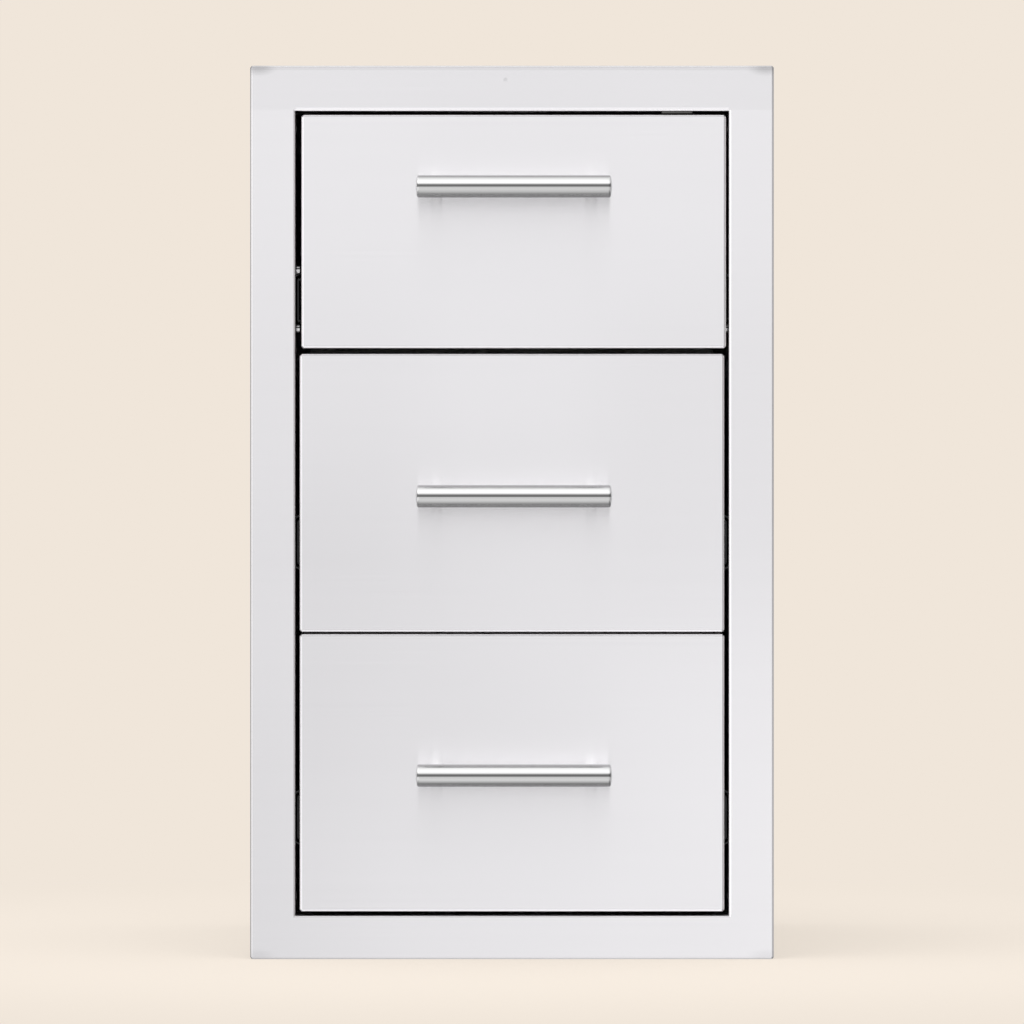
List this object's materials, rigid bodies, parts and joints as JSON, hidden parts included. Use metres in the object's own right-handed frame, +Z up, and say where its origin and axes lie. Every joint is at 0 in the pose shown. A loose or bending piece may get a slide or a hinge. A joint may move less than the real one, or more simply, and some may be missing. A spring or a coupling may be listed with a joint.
{
  "type": "outdoor kitchen drawer unit",
  "caption": "Built-in stainless drawer unit: a folded face frame and housing with three drawers on ball-bearing slides, each with a bar handle.",
  "frame": {"origin": "middle of the plane in which the face frame seats on the island", "axes": "+Z up, +Y into the island, +X to the right seen from the front"},
  "size_m": [0.4318, 0.5772, 0.7366],
  "materials": {
    "brushed_front": "stainless steel sheet, fine brushed grain running across, the folded frame and the drawer fronts",
    "handle_steel": "stainless steel rod with a satin polish",
    "liner_steel": "plain mill-finish stainless sheet",
    "tray_steel": "plain mill-finish stainless sheet",
    "housing_steel": "plain mill-finish stainless sheet",
    "slide_zinc": "bright zinc-plated rolled steel",
    "cage_steel": "zinc-plated strip",
    "fastener_steel": "stainless hexagon-headed screws",
    "grey_rubber": "soft grey rubber"
  },
  "bodies": {
    "cabinet": {"face_frame": "brushed_front", "anti_rattle_pad": "grey_rubber", "side_panel_left": "housing_steel", "side_panel_right": "housing_steel", "top_panel": "housing_steel", "bottom_panel": "housing_steel", "back_panel": "housing_steel", "outer_rail_left_top": "slide_zinc", "outer_rail_right_top": "slide_zinc", "outer_rail_left_middle": "slide_zinc", "outer_rail_right_middle": "slide_zinc", "outer_rail_left_bottom": "slide_zinc", "outer_rail_right_bottom": "slide_zinc"},
    "drawer_top": {"drawer_front_top": "brushed_front", "front_liner_top": "liner_steel", "drawer_tray_top": "tray_steel", "handle_bar_top": "handle_steel", "handle_posts_top": "handle_steel", "handle_screws_top": "fastener_steel", "inner_rail_left_top": "slide_zinc", "inner_rail_right_top": "slide_zinc"},
    "middle_rails_top": {"middle_rail_left_top": "slide_zinc", "middle_rail_right_top": "slide_zinc"},
    "outer_cages_top": {"outer_ball_cages_top": "cage_steel"},
    "inner_cages_top": {"inner_ball_cages_top": "cage_steel"},
    "drawer_middle": {"drawer_front_middle": "brushed_front", "front_liner_middle": "liner_steel", "drawer_tray_middle": "tray_steel", "handle_bar_middle": "handle_steel", "handle_posts_middle": "handle_steel", "handle_screws_middle": "fastener_steel", "inner_rail_left_middle": "slide_zinc", "inner_rail_right_middle": "slide_zinc"},
    "middle_rails_middle": {"middle_rail_left_middle": "slide_zinc", "middle_rail_right_middle": "slide_zinc"},
    "outer_cages_middle": {"outer_ball_cages_middle": "cage_steel"},
    "inner_cages_middle": {"inner_ball_cages_middle": "cage_steel"},
    "drawer_bottom": {"drawer_front_bottom": "brushed_front", "front_liner_bottom": "liner_steel", "drawer_tray_bottom": "tray_steel", "handle_bar_bottom": "handle_steel", "handle_posts_bottom": "handle_steel", "handle_screws_bottom": "fastener_steel", "inner_rail_left_bottom": "slide_zinc", "inner_rail_right_bottom": "slide_zinc"},
    "middle_rails_bottom": {"middle_rail_left_bottom": "slide_zinc", "middle_rail_right_bottom": "slide_zinc"},
    "outer_cages_bottom": {"outer_ball_cages_bottom": "cage_steel"},
    "inner_cages_bottom": {"inner_ball_cages_bottom": "cage_steel"}
  },
  "joints": [
    {"name": "drawer_top_slide", "type": "slide", "parent": "cabinet", "child": "drawer_top", "axis": [0, -1, 0], "range_m": [0, 0.4572]},
    {"name": "middle_rails_top_slide", "type": "slide", "parent": "cabinet", "child": "middle_rails_top", "axis": [0, -1, 0], "range_m": [0, 0.2286]},
    {"name": "outer_cages_top_slide", "type": "slide", "parent": "cabinet", "child": "outer_cages_top", "axis": [0, -1, 0], "range_m": [0, 0.1143]},
    {"name": "inner_cages_top_slide", "type": "slide", "parent": "cabinet", "child": "inner_cages_top", "axis": [0, -1, 0], "range_m": [0, 0.3429]},
    {"name": "drawer_middle_slide", "type": "slide", "parent": "cabinet", "child": "drawer_middle", "axis": [0, -1, 0], "range_m": [0, 0.4572]},
    {"name": "middle_rails_middle_slide", "type": "slide", "parent": "cabinet", "child": "middle_rails_middle", "axis": [0, -1, 0], "range_m": [0, 0.2286]},
    {"name": "outer_cages_middle_slide", "type": "slide", "parent": "cabinet", "child": "outer_cages_middle", "axis": [0, -1, 0], "range_m": [0, 0.1143]},
    {"name": "inner_cages_middle_slide", "type": "slide", "parent": "cabinet", "child": "inner_cages_middle", "axis": [0, -1, 0], "range_m": [0, 0.3429]},
    {"name": "drawer_bottom_slide", "type": "slide", "parent": "cabinet", "child": "drawer_bottom", "axis": [0, -1, 0], "range_m": [0, 0.4572]},
    {"name": "middle_rails_bottom_slide", "type": "slide", "parent": "cabinet", "child": "middle_rails_bottom", "axis": [0, -1, 0], "range_m": [0, 0.2286]},
    {"name": "outer_cages_bottom_slide", "type": "slide", "parent": "cabinet", "child": "outer_cages_bottom", "axis": [0, -1, 0], "range_m": [0, 0.1143]},
    {"name": "inner_cages_bottom_slide", "type": "slide", "parent": "cabinet", "child": "inner_cages_bottom", "axis": [0, -1, 0], "range_m": [0, 0.3429]}
  ],
  "couplings": [
    {"joint": "middle_rails_top_slide", "follows": "drawer_top_slide", "ratio": 0.5},
    {"joint": "outer_cages_top_slide", "follows": "drawer_top_slide", "ratio": 0.25},
    {"joint": "inner_cages_top_slide", "follows": "drawer_top_slide", "ratio": 0.75},
    {"joint": "middle_rails_middle_slide", "follows": "drawer_middle_slide", "ratio": 0.5},
    {"joint": "outer_cages_middle_slide", "follows": "drawer_middle_slide", "ratio": 0.25},
    {"joint": "inner_cages_middle_slide", "follows": "drawer_middle_slide", "ratio": 0.75},
    {"joint": "middle_rails_bottom_slide", "follows": "drawer_bottom_slide", "ratio": 0.5},
    {"joint": "outer_cages_bottom_slide", "follows": "drawer_bottom_slide", "ratio": 0.25},
    {"joint": "inner_cages_bottom_slide", "follows": "drawer_bottom_slide", "ratio": 0.75}
  ]
}
